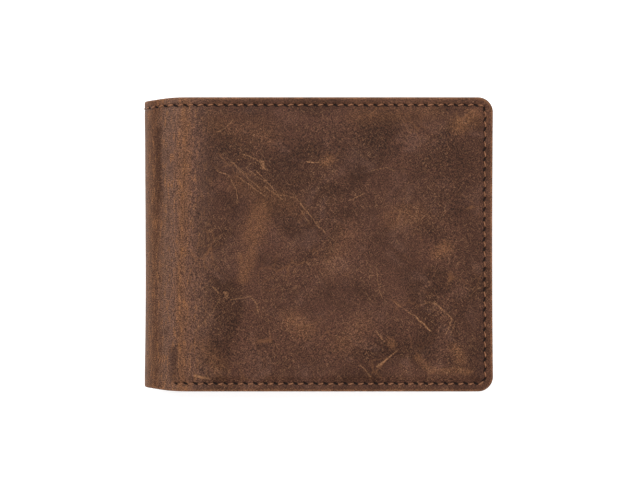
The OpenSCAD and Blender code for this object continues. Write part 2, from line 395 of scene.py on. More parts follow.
# %% Helpers for materials


def tone(red, green, blue):
    """A colour as the eye names it, from 0 to 255, made into the linear light that a shader uses."""
    parts = [part / 255 for part in (red, green, blue)]
    return (*[part / 12.92 if part < 0.04045 else ((part + 0.055) / 1.055) ** 2.4 for part in parts], 1.0)


class Nodes:
    """Short words for adding nodes to one tree."""

    def __init__(self, tree):
        self.tree = tree

    def add(self, kind, values=None, **settings):
        made = self.tree.nodes.new(kind)
        for key, value in settings.items():
            setattr(made, key, value)
        return self.fill(made, values or {})

    def fill(self, made, values):
        for key, value in values.items():
            if isinstance(value, bpy.types.NodeSocket):
                self.tree.links.new(value, made.inputs[key])
            else:
                made.inputs[key].default_value = value
        return made

    def calc(self, operation, *values, clamp=False):
        values = dict(enumerate(values))
        return self.add("ShaderNodeMath", values, operation=operation, use_clamp=clamp).outputs[0]

    def times(self, first, second, clamp=False):
        return self.calc("MULTIPLY", first, second, clamp=clamp)

    def fit(self, value, scale, shift):
        """The value times scale, plus shift."""
        return self.calc("MULTIPLY_ADD", value, scale, shift)

    def vector(self, operation, *values, out="Vector"):
        return self.add("ShaderNodeVectorMath", dict(enumerate(values)), operation=operation).outputs[out]

    def attribute(self, name):
        return self.add("ShaderNodeAttribute", attribute_name=name).outputs["Vector"]

    def split(self, vector):
        return self.add("ShaderNodeSeparateXYZ", {0: vector}).outputs

    def join(self, x, y, z=0.0):
        return self.add("ShaderNodeCombineXYZ", {0: x, 1: y, 2: z}).outputs[0]

    def speck(self, place, size, detail=2.0, rough=0.5, bend=0.0, stretch=(1, 1, 1), turn=0.0):
        """Noise from 0 to 1, with features of about this size in millimetres."""
        values = {"Vector": place, "Rotation": (0, 0, turn), "Scale": [size / part for part in stretch]}
        scaled = self.add("ShaderNodeMapping", values, vector_type="TEXTURE").outputs[0]
        values = {"Vector": scaled, "Scale": 1.0, "Detail": detail, "Roughness": rough, "Distortion": bend}
        return self.add("ShaderNodeTexNoise", values).outputs[0]

    def step(self, value, low, high):
        """0 below low, 1 above high, smooth between; low may be above high."""
        values = {"Value": value, "From Min": low, "From Max": high}
        return self.add("ShaderNodeMapRange", values, interpolation_type="SMOOTHSTEP").outputs[0]

    def blend(self, share, first, second, mode="MIX"):
        mixer = self.add("ShaderNodeMix", {0: share, 6: first, 7: second}, data_type="RGBA", blend_type=mode)
        return mixer.outputs[2]

    def bump(self, height, strength=1.0):
        """A surface normal from a height in metres."""
        values = {"Height": height, "Distance": 1.0, "Strength": strength}
        return self.add("ShaderNodeBump", values).outputs[0]


def new_material(name, **fixed):
    """A material with its shader. Values in fixed are set on the shader itself."""
    material = bpy.data.materials.new(name)
    material.use_nodes = True
    nodes = Nodes(material.node_tree)
    shader = material.node_tree.nodes["Principled BSDF"]
    for key, value in fixed.items():
        shader.inputs[key.replace("_", " ")].default_value = value
    return material, nodes, shader


# %% [markdown]
# ## Marks on the leather
# Waxed leather goes paler wherever it is bent, rubbed or scratched, because the wax moves away. Each mark
# is a straight stroke with a width. One node group measures how near a point is to such a stroke, and it
# is used once for each mark. The places are in the flat hide's millimetres. A little noise in the place
# makes the strokes waver.
# The darker strokes, in SHADES, are painted shade.

# %% The stroke group


def stroke_group():
    tree = bpy.data.node_groups.new("stroke", "ShaderNodeTree")
    for name in ("Place", "From", "To"):
        tree.interface.new_socket(name, in_out="INPUT", socket_type="NodeSocketVector")
    for name in ("Width", "Strength", "Others"):
        tree.interface.new_socket(name, in_out="INPUT", socket_type="NodeSocketFloat")
    tree.interface.new_socket("Mark", in_out="OUTPUT", socket_type="NodeSocketFloat")
    nodes = Nodes(tree)
    given = nodes.add("NodeGroupInput").outputs
    line = nodes.vector("SUBTRACT", given["To"], given["From"])
    away = nodes.vector("SUBTRACT", given["Place"], given["From"])
    across = nodes.vector("DOT_PRODUCT", away, line, out="Value")
    length = nodes.vector("DOT_PRODUCT", line, line, out="Value")
    share = nodes.calc("DIVIDE", across, nodes.calc("ADD", length, 0.0001))
    share = nodes.calc("MINIMUM", nodes.calc("MAXIMUM", share, 0.0), 1.0)
    foot = nodes.vector("MULTIPLY", line, nodes.join(share, share, share))
    gap = nodes.vector("LENGTH", nodes.vector("SUBTRACT", away, foot), out="Value")
    near = nodes.step(nodes.calc("DIVIDE", gap, given["Width"]), 1.0, 0.0)
    mark = nodes.times(near, given["Strength"])
    nodes.add("NodeGroupOutput", {0: nodes.calc("MAXIMUM", mark, given["Others"])})
    return tree


STROKE = stroke_group()

# Marks as (from u, from v, to u, to v, width, strength), in millimetres on the flat hide
SCRATCHES = [
    (29.9, 37, 32.9, 38, 0.3, 0.35), (32.9, 38, 35.4, 41, 0.3, 0.4), (38.9, 29.6, 42.9, 28, 0.3, 0.55),
    (42.9, 28, 45.4, 26, 0.3, 0.5), (44.9, 27, 45.5, 25.4, 1.3, 0.5), (29.9, 24.6, 33.9, 22.4, 0.3, 0.4),
    (33.9, 22.4, 36.3, 18.5, 0.3, 0.45), (36.3, 18.5, 36.9, 13.5, 0.3, 0.45),
    (33.9, 28, 39.9, 23, 0.28, 0.3), (35.9, 26, 44.9, 17.6, 0.28, 0.4),
    (39.9, 25, 48.9, 18.4, 0.28, 0.45), (36.9, 22.5, 45.9, 15.6, 0.28, 0.35),
    (42.9, 24.5, 49.9, 17, 0.28, 0.45), (45.9, 19, 51.9, 14.8, 0.3, 0.4),
    (48.9, 16.5, 55.9, 15.5, 0.3, 0.45), (55.9, 15.5, 60.9, 9.5, 0.32, 0.45),
    (60.9, 9.5, 63.9, 5.5, 0.32, 0.45), (57.4, 12, 60.9, 6.5, 0.3, 0.35),
    (62.9, 7.5, 65.9, 3.5, 0.3, 0.3), (59.9, 27.2, 61.9, 26.8, 0.32, 0.8),
    (61.9, 26.8, 64.3, 27, 0.32, 0.55), (73.7, 14.5, 78.5, 16.6, 0.28, 0.55),
    (81.3, 24.3, 86.5, 25.2, 0.3, 0.35), (86.5, 25.2, 88.9, 24, 0.3, 0.35),
    (28.6, -14, 30.6, -16, 0.4, 0.6), (32.9, -16, 33.3, -17, 0.8, 0.5),
    (34.6, -18.5, 40.9, -17, 0.35, 0.35), (40.9, -17, 43.3, -19.5, 0.4, 0.45),
    (43.3, -19.5, 43.7, -22.8, 0.4, 0.35), (22.9, -43.2, 27.1, -44, 0.7, 0.8),
    (101.7, -19, 104.4, -21.5, 0.65, 0.6), (104.4, -21.5, 107.7, -24.6, 0.32, 0.55),
    (107.7, -25, 105.9, -29.5, 0.32, 0.45), (108.7, -25.6, 107.2, -29.8, 0.28, 0.35),
    (89.1, -19.4, 95.7, -24, 0.28, 0.4), (95.7, -24, 100.5, -28.4, 0.36, 0.85),
    (82.7, -28.6, 85.7, -32.4, 0.35, 0.5), (89.5, -35, 86.3, -37.6, 0.32, 0.6),
    (86.3, -37.6, 82.9, -40.4, 0.6, 0.7), (77.5, -40, 80.7, -43.4, 0.34, 0.5),
    (82.7, -7, 83.2, -12, 0.3, 0.35), (83.2, -12, 84.7, -17.6, 0.3, 0.4),
    (28.4, -38, 31.9, -44, 0.3, 0.3), (29.9, -38, 29.4, -44, 0.28, 0.25),
    (31.4, -39, 34.9, -43, 0.28, 0.25), (53.9, -24, 59.9, -24.6, 0.3, 0.28),
    (54.9, -26.4, 60.9, -26.8, 0.3, 0.28), (53.5, -28.6, 58.9, -28.4, 0.3, 0.25),
    (31.1, -17.5, 28.5, -22.6, 0.4, 0.3), (28.5, -22.6, 22.3, -29, 0.4, 0.28),
    (88.9, 12, 95.9, 8.5, 0.26, 0.25), (90.9, 6, 96.9, 11, 0.26, 0.22), (89.4, 8, 92.9, 13.5, 0.26, 0.2),
]
RUBS = [
    (44.9, 12, 41.9, 3, 6.5, 0.5), (42.9, 3, 38.9, -11, 3.6, 0.45), (109.9, 39, 114.9, 42, 5, 0.55),
    (65.9, 27, 67.4, 28, 3, 0.55), (54.9, -25, 59.9, -28, 6, 0.4), (38.1, -4, 38.7, -10, 2.4, 0.5),
    (102.9, -3, 105.9, -1, 4, 0.5), (43.9, 9, 44.4, 6, 5, 0.45), (87.3, -32, 87.9, -33, 2.4, 0.5),
    (96.3, -37, 100.5, -41.5, 2.2, 0.45), (100.5, -41.5, 112.9, -41.8, 2.4, 0.45),
    (108.9, -34.5, 110.4, -38, 3.4, 0.45), (36.9, 20, 54.9, 13, 6, 0.22), (88.9, 8, 95.9, 10, 7, 0.25),
    (29.9, 40, 46.9, 36, 8, 0.18), (75.9, 42, 100.9, 44, 6, 0.25), (66.9, -8, 72.9, 4, 7, 0.2),
    (70.9, -33, 78.9, -26, 6, 0.2), (24.9, -33, 30.9, -40, 5, 0.28),
]
SHADES = [
    (113.9, 30, 113.9, -36, 8, 0.5), (112.9, -19, 112.3, -28, 6, 0.6), (113.9, -4, 113.9, -14, 4, 0.6),
    (10.5, 38, 10.7, 15, 2.2, 0.95), (15.9, -35, 15.9, -44, 2.6, 0.8), (75.9, 19.5, 77.9, 17.5, 5, 0.6),
    (62.9, 33, 74.9, 27, 11, 0.35), (30.9, 4, 33.9, -8, 6, 0.3), (58.9, 2, 66.9, -14, 9, 0.3),
    (94.9, 24, 100.9, 6, 9, 0.3), (32.9, 14, 30.9, 6, 5, 0.35), (92.9, -34, 84.9, -22, 7, 0.3),
    (45.9, -34, 60.9, -38, 7, 0.3), (48.9, 30, 52.9, 24, 7, 0.3), (99, 17, 111, 7, 9, 0.5),
    (109, 24, 112, 12, 6, 0.5), (96, -12, 110, -8, 7, 0.35), (78, 8, 84, 20, 6, 0.3),
]

# %% [markdown]
# ## Waxed leather
# The leather is built in layers, in the order in which a real hide gets them: cloudy dye first, then
# paler warm patches where the wax has been pulled, then fine fibres and pores, and last the marks of use.
# The spine is bent all its life, so it is paler and streaked along the bend. The seam is drawn by the
# sheet's own `seam` layer: its first number counts stitches, so the slanting needle slits repeat exactly
# under the thread.

# %% The leather finish
SLIT_SLANT = math.radians(22)
SLIT_LONG, SLIT_SHORT = 1.1, 0.34
# The needle slits are painted near black, as shade inside the holes
SLIT_SHADE_TONE = tone(24, 13, 9)
STREAK_TONE = tone(156, 104, 66)
SCRATCH_TONE = tone(184, 132, 92)
# Paler tone of the rounded edge, which also paints a highlight where the edge turns
PALE_EDGE_AND_HIGHLIGHT_TONE = tone(156, 108, 76)
FIBRE_TONE = tone(148, 106, 76)
HOLLOW_TONE = tone(36, 20, 13)
# The spine's tones, by their share of a band this wide from the middle of the spine
SPINE_BAND = 30.0
SPINE_STOPS = [
    (0.0, (130, 89, 60)), (0.19, (122, 82, 56)), (0.31, (103, 68, 49)), (0.42, (120, 88, 72)),
    (0.53, (117, 85, 71)), (0.63, (126, 85, 60)), (0.74, (116, 82, 68)), (0.86, (106, 76, 64)),
    (1.0, (94, 66, 54)),
]


def strongest(nodes, place, marks):
    """The strongest of several strokes at each place."""
    result = 0.0
    for from_u, from_v, to_u, to_v, width, strength in marks:
        group = nodes.tree.nodes.new("ShaderNodeGroup")
        group.node_tree = STROKE
        nodes.fill(group, {"Place": place, "From": (from_u, from_v, 0), "To": (to_u, to_v, 0),
                           "Width": width, "Strength": strength, "Others": result})
        result = group.outputs[0]
    return result


def needle_slits(nodes):
    """Where the needle has gone through, and how far the thread draws the leather in."""
    along, out, present = nodes.split(nodes.attribute("seam"))
    phase = nodes.calc("FRACT", nodes.calc("ADD", along, 0.5))
    place = nodes.times(nodes.calc("SUBTRACT", phase, 0.5), stitch_pitch)
    cos, sin = math.cos(SLIT_SLANT), math.sin(SLIT_SLANT)
    long = nodes.calc("ADD", nodes.times(place, cos), nodes.times(out, sin))
    short = nodes.calc("SUBTRACT", nodes.times(out, cos), nodes.times(place, sin))
    oval = nodes.join(nodes.calc("DIVIDE", long, SLIT_LONG), nodes.calc("DIVIDE", short, SLIT_SHORT))
    far = nodes.vector("LENGTH", oval, out="Value")
    slit = nodes.times(nodes.step(far, 1.15, 0.75), present)
    wave = nodes.calc("COSINE", nodes.times(along, 2 * math.pi))
    channel = nodes.times(nodes.step(nodes.calc("ABSOLUTE", out), 1.3, 0.1), present)
    drawn_in = nodes.times(channel, nodes.fit(wave, 0.5, 0.5))
    return slit, channel, drawn_in


def leather(name, dark, mid, pale, tan, outer=False):
    """Waxed leather. The outer hide also has the spine's streaks, the seam and the marks of use."""
    material, nodes, shader = new_material(name, Specular_IOR_Level=0.12)
    along, across, inset = nodes.split(nodes.attribute("hide"))
    flat = nodes.join(along, across)
    solid = nodes.join(along, across, nodes.split(nodes.attribute("depth"))[2])
    cloud = nodes.step(nodes.speck(flat, 26, detail=3, bend=1.2), 0.34, 0.66)
    colour = nodes.blend(cloud, dark, mid)
    haze = nodes.step(nodes.speck(flat, 11, detail=4, rough=0.6, bend=0.8), 0.5, 0.78)
    colour = nodes.blend(nodes.times(haze, 0.55), colour, pale)
    fibre_a = nodes.speck(solid, 0.52, detail=3, rough=0.65, stretch=(0.4, 1.5, 1), turn=0.8)
    fibre_b = nodes.speck(solid, 0.52, detail=3, rough=0.65, stretch=(0.4, 1.5, 1), turn=-0.9)
    strands = nodes.calc("MAXIMUM", fibre_a, fibre_b)
    hollows = nodes.calc("MINIMUM", fibre_a, fibre_b)
    grain = nodes.speck(solid, 0.36, detail=3, rough=0.7)
    if outer:
        near_spine = nodes.calc("ABSOLUTE", along)
        warp = nodes.fit(nodes.speck(flat, 14, detail=3, stretch=(1, 0.4, 1)), 7.0, -3.5)
        band = nodes.calc("ADD", near_spine, warp)
        streak = nodes.speck(flat, 0.9, detail=4, rough=0.7, stretch=(1, 0.2, 1))
        spine_tones = nodes.add("ShaderNodeValToRGB", {0: nodes.calc("DIVIDE", band, SPINE_BAND)})
        while len(spine_tones.color_ramp.elements) < len(SPINE_STOPS):
            spine_tones.color_ramp.elements.new(0.5)
        for element, (position, colour_name) in zip(spine_tones.color_ramp.elements, SPINE_STOPS):
            element.position = position
            element.color = tone(*colour_name)
        on_spine = nodes.step(band, 32.0, 18.0)
        colour = nodes.blend(nodes.times(on_spine, 0.85), colour, spine_tones.outputs[0])
        streaks = nodes.times(nodes.step(streak, 0.5, 0.66), on_spine)
        colour = nodes.blend(nodes.times(streaks, 0.7), colour, STREAK_TONE)
        dark_streaks = nodes.times(nodes.step(streak, 0.47, 0.33), on_spine)
        colour = nodes.blend(nodes.times(dark_streaks, 0.6), colour, dark)
        waver = nodes.add("ShaderNodeTexNoise", {"Vector": flat, "Scale": 0.35, "Detail": 3.0}).outputs[1]
        centred = nodes.vector("SUBTRACT", flat, (0.6, 0.6, 0))
        wavering = nodes.vector("MULTIPLY_ADD", waver, (1.2, 1.2, 0), centred)
        # Painted shade: the SHADES strokes darken the leather
        shade = nodes.times(strongest(nodes, wavering, SHADES), nodes.fit(haze, -0.4, 0.8))
        colour = nodes.blend(shade, colour, dark)
        broken = nodes.step(nodes.speck(flat, 1.6, detail=5, rough=0.7), 0.35, 0.62)
        rub = nodes.times(strongest(nodes, wavering, RUBS), nodes.fit(broken, 0.6, 0.4))
        colour = nodes.blend(rub, colour, tan)
        marks = nodes.times(strongest(nodes, wavering, SCRATCHES), nodes.fit(broken, 0.5, 0.5))
        colour = nodes.blend(marks, colour, SCRATCH_TONE)
    patchy = nodes.step(nodes.speck(flat, 5, detail=4), 0.3, 0.7)
    border = nodes.times(nodes.step(inset, 2.6, 2.0), patchy)
    # The rounded edge is paler: partly the leather's own paler cut edge, partly a painted highlight where it turns.
    pale_edge_and_highlight = nodes.times(nodes.step(inset, 1.0, 0.3), nodes.fit(patchy, 0.5, 0.5))
    colour = nodes.blend(nodes.times(border, 0.12), colour, tan)
    colour = nodes.blend(nodes.times(pale_edge_and_highlight, 0.75 if outer else 0.45), colour, PALE_EDGE_AND_HIGHLIGHT_TONE)
    dry = nodes.fit(nodes.step(nodes.speck(flat, 19, detail=3), 0.4, 0.62), 0.45, 0.3)
    colour = nodes.blend(nodes.times(nodes.step(strands, 0.53, 0.72), dry), colour, FIBRE_TONE)
    colour = nodes.blend(nodes.times(nodes.step(hollows, 0.46, 0.28), 0.55), colour, HOLLOW_TONE)
    tooth = nodes.fit(nodes.step(grain, 0.34, 0.66), 1.2, 0.2)
    colour = nodes.vector("MULTIPLY", colour, nodes.join(tooth, tooth, tooth))
    swirl = nodes.join(nodes.times(fibre_a, 3.0), nodes.times(fibre_b, 3.0))
    values = {"Vector": nodes.vector("MULTIPLY_ADD", flat, (1, 1, 1), swirl), "Scale": 0.16}
    crease = nodes.add("ShaderNodeTexVoronoi", values, feature="DISTANCE_TO_EDGE")
    worked = nodes.step(nodes.speck(flat, 17, detail=3), 0.52, 0.66)
    lines = nodes.times(nodes.step(crease.outputs[0], 0.035, 0.0), worked)
    colour = nodes.blend(nodes.times(lines, 0.35), colour, tan)
    values = {"Vector": flat, "Scale": 1.25}
    pores = nodes.add("ShaderNodeTexVoronoi", values, feature="SMOOTH_F1").outputs[0]
    height = nodes.fit(pores, 0.02, nodes.times(grain, 0.035))
    height = nodes.fit(lines, -0.02, height)
    height = nodes.fit(strands, 0.05, height)
    if outer:
        height = nodes.fit(nodes.times(streak, on_spine), 0.12, height)
        slit, channel, drawn_in = needle_slits(nodes)
        # Painted shade in the seam's channel, where the thread draws the leather in
        colour = nodes.blend(nodes.times(channel, 0.3), colour, dark)
        # Painted shade in the needle slits
        colour = nodes.blend(slit, colour, SLIT_SHADE_TONE)
        height = nodes.fit(drawn_in, -0.16, height)
        height = nodes.fit(slit, -0.3, height)
    normal = nodes.bump(nodes.times(height, MM), 0.8)
    matt = nodes.fit(grain, 0.25, 0.45)
    nodes.fill(shader, {"Base Color": colour, "Roughness": matt, "Normal": normal})
    return material


OUTER_TONES = (tone(66, 39, 27), tone(90, 57, 44), tone(116, 82, 69), tone(144, 96, 62))
INNER_TONES = (tone(60, 38, 29), tone(78, 51, 40), tone(93, 63, 49), tone(120, 80, 54))
OUTER_LEATHER = leather("waxed_leather", *OUTER_TONES, outer=True)
INNER_LEATHER = leather("pocket_leather", *INNER_TONES)
print("leather finishes ready")

# %% [markdown]
# ## Cloth, board, thread and film
# The lining is a fine twill. The interlining is grey-brown board. The thread is waxed and twisted from
# two plies, which its mesh shows. The film of the card window is drawn as dark gloss, as clear plastic
# over the dark core looks.

# %% The other finishes


def woven(name, warp_tone, weft_tone, place_of):
    """Twill cloth. place_of gives the place in millimetres."""
    material, nodes, shader = new_material(name, Specular_IOR_Level=0.2, Roughness=0.85)
    along, across, _ = nodes.split(place_of(nodes))
    steps = nodes.calc("ADD", nodes.times(along, 9.0), nodes.times(across, 5.0))
    twill = nodes.fit(nodes.calc("SINE", steps), 0.5, 0.5)
    threads = nodes.fit(nodes.calc("SINE", nodes.times(across, 19.0)), 0.5, 0.5)
    uneven = nodes.speck(nodes.join(along, across), 0.9, detail=4, stretch=(0.25, 1, 1))
    share = nodes.times(nodes.fit(threads, 0.5, 0.5), nodes.calc("ADD", twill, uneven), clamp=True)
    colour = nodes.blend(share, weft_tone, warp_tone)
    height = nodes.times(nodes.calc("ADD", twill, threads), 0.03 * MM)
    nodes.fill(shader, {"Base Color": colour, "Normal": nodes.bump(height)})
    return material


def own_millimetres(nodes):
    """A piece's own coordinates, in millimetres."""
    place = nodes.add("ShaderNodeTexCoord").outputs["Object"]
    return nodes.vector("MULTIPLY", place, (1 / MM, 1 / MM, 1 / MM))


def mottled(name, light_tone, dark_tone, size, matt, bump_mm):
    """A finish with an even speckle."""
    material, nodes, shader = new_material(name, Specular_IOR_Level=0.25, Roughness=matt)
    spots = nodes.speck(own_millimetres(nodes), size, detail=4, rough=0.6)
    colour = nodes.blend(nodes.step(spots, 0.3, 0.7), dark_tone, light_tone)
    normal = nodes.bump(nodes.times(spots, bump_mm * MM))
    nodes.fill(shader, {"Base Color": colour, "Normal": normal})
    return material


LINING_CLOTH = woven("lining_twill", tone(72, 56, 47), tone(44, 33, 28),
                     lambda nodes: nodes.attribute("hide"))
CORE_CLOTH = woven("core_cloth", tone(60, 47, 40), tone(38, 29, 25), own_millimetres)
BOARD = mottled("interlining_board", tone(168, 150, 126), tone(140, 124, 104), 0.8, 0.9, 0.05)
THREAD = mottled("waxed_thread", tone(164, 113, 79), tone(106, 69, 48), 0.4, 0.6, 0.02)


def film_material():
    """Film over the dark core. It is opaque and has the core's tone, and its gloss ripples."""
    material, nodes, shader = new_material("clear_film", Base_Color=tone(46, 37, 33), IOR=1.5)
    ripple = nodes.speck(own_millimetres(nodes), 14, detail=3)
    normal = nodes.bump(nodes.times(ripple, 0.2 * MM))
    nodes.fill(shader, {"Roughness": nodes.fit(ripple, 0.06, 0.12), "Normal": normal})
    return material


FILM = film_material()
print("cloth, board, thread and film ready")

# %% [markdown]
# ## The seam line
# One seam runs round the whole hide, a little in from its edge: along the bottom of the front cover, up
# the free edge, along the top and over the spine, and the same way down the back cover. It leaves the
# bottom of the spine open. `seam_length` says how far along the seam the nearest point is, and
# `seam_point` is the way back.

# %% Follow the seam
seam_start = quarter + box_mm("back_note_wall")[0][0] - spine_x + 0.3
side_end = edge_y - corner_r
long_end = hide_end - corner_r
turn_r = corner_r - seam_inset
turn_l = turn_r * math.pi / 2
bottom_l = long_end - seam_start
SEAM_ZONE = 6
half_seam = bottom_l + turn_l + 2 * side_end + turn_l + long_end
stitch_count = round(2 * half_seam / stitch_pitch)
pitch = 2 * half_seam / stitch_count


def seam_length(u, v):
    """Distance along the seam, from its start on the front cover, of the point nearest to each place."""
    far = np.abs(u)
    du, dv = np.clip(far - long_end, 1e-6, None), np.clip(np.abs(v) - side_end, 1e-6, None)
    at_corner = (far > long_end) & (np.abs(v) > side_end)
    at_side = (hide_end - far) < (edge_y - np.abs(v))
    bottom = far - seam_start
    corner = np.arctan2(du, dv) * turn_r
    side = bottom_l + turn_l + side_end + v
    top_start = bottom_l + 2 * turn_l + 2 * side_end
    low_part = np.where(at_corner, bottom_l + corner, bottom)
    high_part = np.where(at_corner, top_start - corner, top_start + long_end - far)
    length = np.where(at_side & ~at_corner, side, np.where(v < 0, low_part, high_part))
    return np.where(u < 0, 2 * half_seam - length, length)


def seam_point(length):
    """Place on the flat hide, and direction, at a distance along the seam."""
    side = 1 if length <= half_seam else -1
    length = length if side > 0 else 2 * half_seam - length
    spans = [bottom_l, turn_l, 2 * side_end, turn_l, long_end]
    for part, span in enumerate(spans):
        if length <= span or part == len(spans) - 1:
            break
        length -= span
    if part in (1, 3):
        angle = length / turn_r - (math.pi / 2 if part == 1 else 0)
        centre_v = -side_end if part == 1 else side_end
        place = (long_end + turn_r * math.cos(angle), centre_v + turn_r * math.sin(angle))
        heading = (-math.sin(angle), math.cos(angle))
    else:
        place, heading = {
            0: ((seam_start + length, -edge_y + seam_inset), (1, 0)),
            2: ((hide_end - seam_inset, -side_end + length), (0, 1)),
            4: ((long_end - length, edge_y - seam_inset), (-1, 0)),
        }[part]
    return (side * place[0], place[1]), (heading[0], side * heading[1])


def unsewn(u, v):
    """Whether a place is beside the open bottom of the spine, where there is no seam."""
    return (v < 0) & (np.abs(u) < seam_start - 0.5)


def seam_layer(u, v, inset):
    """For the finish: stitches counted along the seam, distance outward from it, and whether it is there."""
    present = np.where(unsewn(u, v) | (inset > SEAM_ZONE), 0.0, 1.0)
    return {"seam": np.stack([seam_length(u, v) / pitch, seam_inset - inset, present], -1)}


print(f"{stitch_count} stitches, one every {pitch:.2f} mm")

# %% [markdown]
# ## The outer leather
# Its middle is padded by board underneath, so it stands a little proud of the flat border that carries
# the seam. The seam pulls a shallow channel. The front is also gently domed and uneven, as a filled
# wallet becomes. The back stays flat, because the wallet lies on it.
#
# The hide bends at four fold lines. It is cut into four lengths halfway between them, and each length
# blends across the one fold that it crosses. Each strip between two folds is an arc, which would stay
# curved in an open wallet. So a blend reaches past the cut: there the hide has turned by three quarters
# of the fold, which brings the middle of the arc down to the line of the folds, from both sides alike.
# The open spine then lies nearly flat, with only a thin wedge at each cut. On the side of a leaf the
# blend ends short, because the leaf doesn't bend.

# %% Cut and wrap the hide
fold_u = {name: spine_r * math.radians(angle) for name, angle in FOLD_ANGLES.items()}
LENGTHS = [
    ("back", -hide_end, -quarter / 2, "back_leaf", "spine_lower", "back_fold"),
    ("spine_lower", -quarter / 2, 0.0, "spine_lower", "spine_middle", "lower_spine_fold"),
    ("spine_upper", 0.0, quarter / 2, "spine_middle", "spine_upper", "upper_spine_fold"),
    ("front", quarter / 2, hide_end, "spine_upper", "front_leaf", "front_fold"),
]
HIDE_BOX = (-hide_end, hide_end, -edge_y, edge_y)
HIDE_CORNERS = {side: corner_r for side in ALL_CORNERS}
THREE_QUARTERS = 0.6736
CUT_REACH = spine_r * math.sin(math.radians(22.5))
LEAF_REACH = 3.0
CUT = (0.0, 0.05)
DOME, CHANNEL, WAVES = 0.3, 0.16, 0.1


def padding(u, inset):
    """Share of the padding's height at each place of the hide."""
    return ramp((inset - border_w + 0.5) / 1.3) * ramp((np.abs(u) - quarter - 0.6) / 5)


def unevenness(u, v, size):
    """Smooth noise from about -1 to 1."""
    flat = [noise.noise(Vector((a / size, b / size, 0.5))) for a, b in zip(u.ravel(), v.ravel())]
    return np.array(flat).reshape(u.shape)


def hide_over(u, v, inset):
    front = ramp((u - quarter) / 12)
    middle = ramp((inset - border_w) / 22)
    channel = np.where(unsewn(u, v), 0, CHANNEL * ridge(inset - seam_inset, 0.6))
    waves = WAVES * unevenness(u, v, 17) * np.where(u > -quarter, ramp((inset - 1) / 6), 0)
    return pad_rise * padding(u, inset) + DOME * front * middle - channel + waves


def hide_under(u, v, inset):
    return pad_rise * padding(u, inset) - leather_t


def bend_ends(fold):
    """Where the hide starts and stops turning about a fold, in metres.

    A smooth step has reached 3/4 at THREE_QUARTERS of its way.
    """
    back, front = fold == "back_fold", fold == "front_fold"
    inner = CUT_REACH / (2 * THREE_QUARTERS - 1)
    outer = (CUT_REACH + LEAF_REACH) / THREE_QUARTERS - LEAF_REACH
    before = LEAF_REACH if back else outer if front else inner
    after = LEAF_REACH if front else outer if back else inner
    angle = math.radians(FOLD_ANGLES[fold])
    place = wrap(np.array(fold_u[fold]), np.array(0.0), np.array(0.0))
    onward = np.array([math.sin(angle), 0.0, math.cos(angle)])
    return [(place - before * onward) * MM, (place + after * onward) * MM]


def end_insets(end, border, cut):
    """Grid lines near an end: those of a border at the hide's end, those of a cut elsewhere."""
    return border if abs(abs(end) - hide_end) < 1e-6 else cut


LEATHER_RIM = rim(leather_t / 2, 0.8, 1.2, 1.6, 2.0, 2.35, 2.7, 3.05, 3.4, 3.8, 4.2, 4.6, 5.1, 5.8)
hide_lines_v = stations(-edge_y, edge_y, 1.1, LEATHER_RIM, LEATHER_RIM)
leather_pieces = {}
for name, low_u, high_u, first_body, second_body, fold in LENGTHS:
    insets = [end_insets(end, LEATHER_RIM, CUT) for end in (low_u, high_u)]
    lines = (stations(low_u, high_u, 0.9, *insets), hide_lines_v)
    made = make_sheet(f"leather_{name}", lines, HIDE_BOX, HIDE_CORNERS, hide_over, hide_under, wrap,
                      OUTER_LEATHER, extra=seam_layer)
    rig.blend(made, first_body, second_body, *bend_ends(fold))
    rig.slot(made, "outer_leather")
    leather_pieces[name] = made
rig.replaces(leather_pieces["back"], "back_cover")
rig.replaces(leather_pieces["spine_lower"], "spine_leather_lower", "spine_leather_middle")
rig.replaces(leather_pieces["spine_upper"], "spine_leather_upper")
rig.replaces(leather_pieces["front"], "front_cover")

# %% [markdown]
# ## The lining
# A thin cloth is glued to the inside of the hide and ends just short of its edges. It is wrapped and cut
# in the same way, but its lengths overlap a little at the cuts, because the inside of a bend opens as the
# wallet does.

# %% Line the hide
lining_end_v = box_mm("back_lining")[1][1]
lining_end_u = quarter + box_mm("back_lining")[1][0] - spine_x
LINING_BOX = (-lining_end_u, lining_end_u, -lining_end_v, lining_end_v)
LINING_MARGIN = 0.8
LINING_CORNERS = {side: corner_r - LINING_MARGIN for side in ALL_CORNERS}
LINING_RIM = rim(lining_t / 2, 1.0, 2.5)
LAP = 0.3
lining_lines_v = stations(-lining_end_v, lining_end_v, 4.0, LINING_RIM, LINING_RIM)


def line_length(name, low_u, high_u, first_body, second_body, fold):
    low_u, high_u = max(low_u - LAP, -lining_end_u), min(high_u + LAP, lining_end_u)
    low_insets = LINING_RIM if low_u == -lining_end_u else CUT
    high_insets = LINING_RIM if high_u == lining_end_u else CUT
    step = 1.2 if name.startswith("spine") else 2.5
    lines = (stations(low_u, high_u, step, low_insets, high_insets), lining_lines_v)
    made = make_sheet(f"lining_{name}", lines, LINING_BOX, LINING_CORNERS,
                      lambda u, v, inset: 0 * u - leather_t,
                      lambda u, v, inset: 0 * u - leather_t - lining_t, wrap, LINING_CLOTH)
    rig.blend(made, first_body, second_body, *bend_ends(fold))
    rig.slot(made, "lining_fabric")
    if not name.startswith("spine"):
        flat = ((high_u - low_u) * MM, 2 * lining_end_v * MM)
        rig.sheet(made, flat=flat, held="laid", rests_on=[leather_pieces[name]])
    return made


linings = {values[0]: line_length(*values) for values in LENGTHS}
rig.replaces(linings["back"], "back_lining")
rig.replaces(linings["spine_lower"], "spine_lining_lower", "spine_lining_middle")
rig.replaces(linings["spine_upper"], "spine_lining_upper")
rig.replaces(linings["front"], "front_lining")

# %% [markdown]
# ## Walls and card pockets
# Each is a panel of thinner leather, sewn down at its sides and bottom and loose at the top, where a card
# or a banknote slips behind it. The loose part is hollow underneath. A line is creased into the leather
# just below the top edge, and the seams draw shallow channels. Panels on the front leaf face down, so
# their heights are counted from their upper side.

